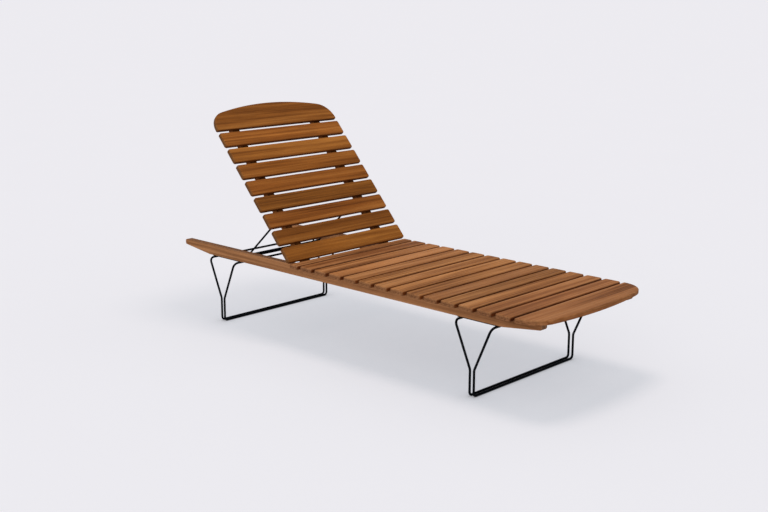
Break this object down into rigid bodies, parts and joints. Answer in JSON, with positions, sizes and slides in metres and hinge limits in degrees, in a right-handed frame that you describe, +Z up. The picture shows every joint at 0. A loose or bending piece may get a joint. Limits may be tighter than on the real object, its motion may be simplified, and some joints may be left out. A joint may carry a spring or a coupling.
{
  "type": "sun lounger",
  "caption": "Wooden sun lounger with cross slats, a bowed foot and head, a reclining slatted backrest on a wire prop, and splayed wire leg frames.",
  "frame": {"origin": "on the floor, in the middle of the plan, with the backrest raised as in the picture", "axes": "+Z up, +Y along the lounger towards the head end, -Y towards the foot end, +X to the sitter's left"},
  "size_m": [0.682, 2.0054, 0.9261],
  "materials": {
    "seat_wood": "oiled hardwood, satin",
    "back_wood": "oiled hardwood, satin, in shade more orange",
    "frame_wood": "oiled hardwood, satin",
    "black_steel": "black powder coat, satin",
    "plain_steel": "plain stainless steel"
  },
  "bodies": {
    "frame": {"seat_slat_01": "seat_wood", "seat_slat_02": "seat_wood", "seat_slat_03": "seat_wood", "seat_slat_04": "seat_wood", "seat_slat_05": "seat_wood", "seat_slat_06": "seat_wood", "seat_slat_07": "seat_wood", "seat_slat_08": "seat_wood", "seat_slat_09": "seat_wood", "seat_slat_10": "seat_wood", "seat_slat_11": "seat_wood", "seat_slat_12": "seat_wood", "seat_slat_13": "seat_wood", "seat_slat_14": "seat_wood", "seat_slat_15": "seat_wood", "right_rail": "frame_wood", "left_rail": "frame_wood", "rear_leg_hoop_back": "black_steel", "rear_leg_hoop_front": "black_steel", "front_leg_hoop_back": "black_steel", "front_leg_hoop_front": "black_steel", "rear_leg_plate_right": "black_steel", "rear_leg_plate_left": "black_steel", "front_leg_plate_right": "black_steel", "front_leg_plate_left": "black_steel", "rear_plate_screw_right_1": "plain_steel", "rear_plate_screw_right_2": "plain_steel", "rear_plate_screw_left_1": "plain_steel", "rear_plate_screw_left_2": "plain_steel", "front_plate_screw_right_1": "plain_steel", "front_plate_screw_right_2": "plain_steel", "front_plate_screw_left_1": "plain_steel", "front_plate_screw_left_2": "plain_steel", "catch_rod": "black_steel", "pivot_pin_right": "plain_steel", "pivot_pin_left": "plain_steel", "pivot_washer_right": "plain_steel", "pivot_washer_left": "plain_steel"},
    "backrest": {"back_slat_01": "back_wood", "back_slat_02": "back_wood", "back_slat_03": "back_wood", "back_slat_04": "back_wood", "back_slat_05": "back_wood", "back_slat_06": "back_wood", "back_slat_07": "back_wood", "back_slat_08": "back_wood", "back_slat_09": "back_wood", "back_batten_right": "frame_wood", "back_batten_left": "frame_wood"},
    "prop": {"prop_bail": "black_steel"}
  },
  "joints": [
    {"name": "backrest_recline", "type": "hinge", "parent": "frame", "child": "backrest", "pos_m": [0, 0.2512, 0.3082], "axis": [1, 0, 0], "range_deg": [-48.85, 4]},
    {"name": "prop_swing", "type": "hinge", "parent": "backrest", "child": "prop", "pos_m": [0, 0.42235, 0.50405], "axis": [1, 0, 0], "range_deg": [-8, 91.7]}
  ],
  "couplings": [
    {"joint": "prop_swing", "follows": "backrest_recline", "ratio": -1.8688}
  ]
}
